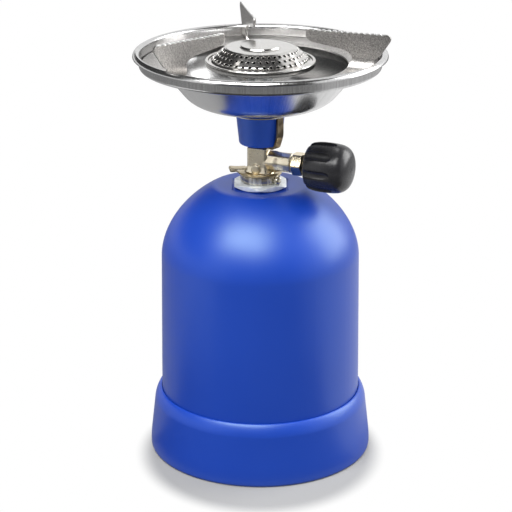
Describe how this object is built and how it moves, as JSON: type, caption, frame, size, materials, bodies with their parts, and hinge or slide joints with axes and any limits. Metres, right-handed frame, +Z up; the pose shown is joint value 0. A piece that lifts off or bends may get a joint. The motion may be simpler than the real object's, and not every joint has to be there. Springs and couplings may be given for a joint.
{
  "type": "portable gas stove",
  "caption": "Portable gas stove: domed cartridge housing on a flared foot, needle valve with a side knob, drip dish, perforated burner and toothed pan supports.",
  "frame": {"origin": "middle of the foot's underside, on the surface that the stove stands on", "axes": "+Z up along the axis that the foot, housing, valve stem, dish and burner share; the front is -Y; the valve's knob points to +X, turned 23 degrees towards the front"},
  "size_m": [0.1206, 0.1233, 0.214],
  "materials": {
    "blue_paint": "satin",
    "can_paint": "satin",
    "stainless": "bright",
    "zinc": "satin",
    "yellow_zinc": "satin",
    "brass": "satin",
    "rubber": "matte",
    "black_plastic": "satin"
  },
  "bodies": {
    "foot": {"base_cup": "blue_paint"},
    "cartridge": {"cartridge_can": "can_paint", "cartridge_end": "can_paint"},
    "housing": {"housing_shell": "blue_paint", "bush_nut": "zinc", "bush_lock_ring": "zinc"},
    "seal": {"valve_seal": "rubber"},
    "valve": {"piercing_pin": "stainless", "valve_body": "brass", "collar_ring": "brass", "tab_washer": "yellow_zinc", "gland_packing": "rubber", "gland_nut": "brass", "support_bracket": "yellow_zinc", "burner_cup": "blue_paint", "jet": "brass", "dish_washer": "stainless", "mixing_tube": "stainless", "tube_nut": "zinc", "drip_dish": "stainless", "burner_body": "stainless", "burner_cap": "stainless", "pan_support_ring": "stainless"},
    "pad": {"seat_pad": "rubber"},
    "knob": {"valve_spindle": "brass", "control_knob": "black_plastic"}
  },
  "joints": [
    {"name": "bayonet_turn", "type": "hinge", "parent": "foot", "child": "cartridge", "pos_m": [0, 0, 0.0176], "axis": [0, 0, 1], "range_deg": [0, 25]},
    {"name": "housing_lift", "type": "slide", "parent": "cartridge", "child": "housing", "axis": [0, 0, 1], "range_m": [0, 0.125]},
    {"name": "valve_lift", "type": "slide", "parent": "housing", "child": "seal", "axis": [0, 0, 1], "range_m": [0, 0.0076]},
    {"name": "valve_turn", "type": "hinge", "parent": "seal", "child": "valve", "pos_m": [0, 0, 0.13], "axis": [0, 0, 1], "range_deg": [0, 1800]},
    {"name": "spindle_travel", "type": "slide", "parent": "valve", "child": "pad", "axis": [0.9205, -0.3907, 0], "range_m": [0, 0.0012]},
    {"name": "knob_turn", "type": "hinge", "parent": "pad", "child": "knob", "pos_m": [0, 0, 0.1478], "axis": [0.9205, -0.3907, 0], "range_deg": [0, 540]}
  ],
  "couplings": [
    {"joint": "valve_lift", "follows": "valve_turn", "m_per_rad": 0.00023873},
    {"joint": "spindle_travel", "follows": "knob_turn", "m_per_rad": 0.00011937}
  ]
}
